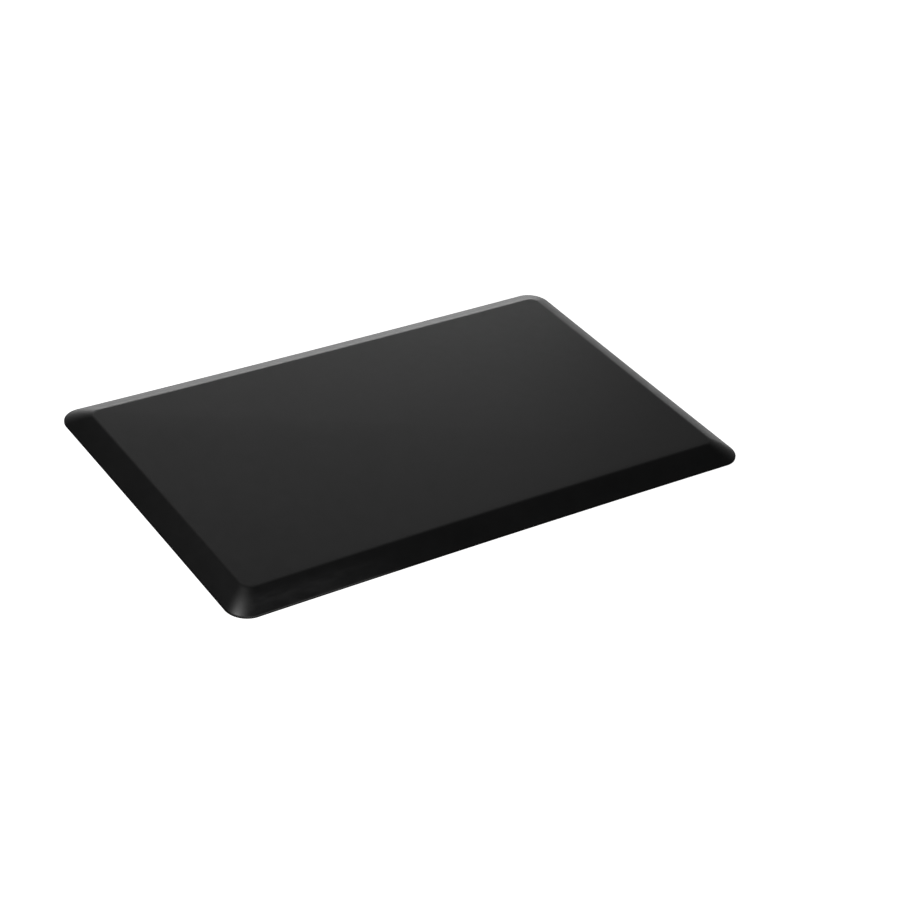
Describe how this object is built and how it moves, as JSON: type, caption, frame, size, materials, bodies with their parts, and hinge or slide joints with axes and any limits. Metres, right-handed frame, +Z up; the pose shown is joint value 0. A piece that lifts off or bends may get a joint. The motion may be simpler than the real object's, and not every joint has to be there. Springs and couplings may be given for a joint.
{
  "type": "anti fatigue mat",
  "caption": "Anti-fatigue standing mat: flat rectangular top with bevelled edges and rounded corners, a moulded cover over a foam core on a non-slip base sheet.",
  "frame": {"origin": "middle of the mat's underside, on the floor", "axes": "+X along the 800 mm length, +Y across the 500 mm width, +Z up from the floor to the standing surface"},
  "size_m": [0.8, 0.5, 0.019],
  "materials": {
    "cover": "satin black moulded polyurethane skin with a very fine grain",
    "foam": "matte dark grey open-cell polyurethane foam",
    "base": "matte black non-slip rubber with a shallow moulded grip pattern"
  },
  "bodies": {
    "root": {"top_cover": "cover", "foam_core": "foam", "base_sheet": "base"}
  },
  "joints": []
}
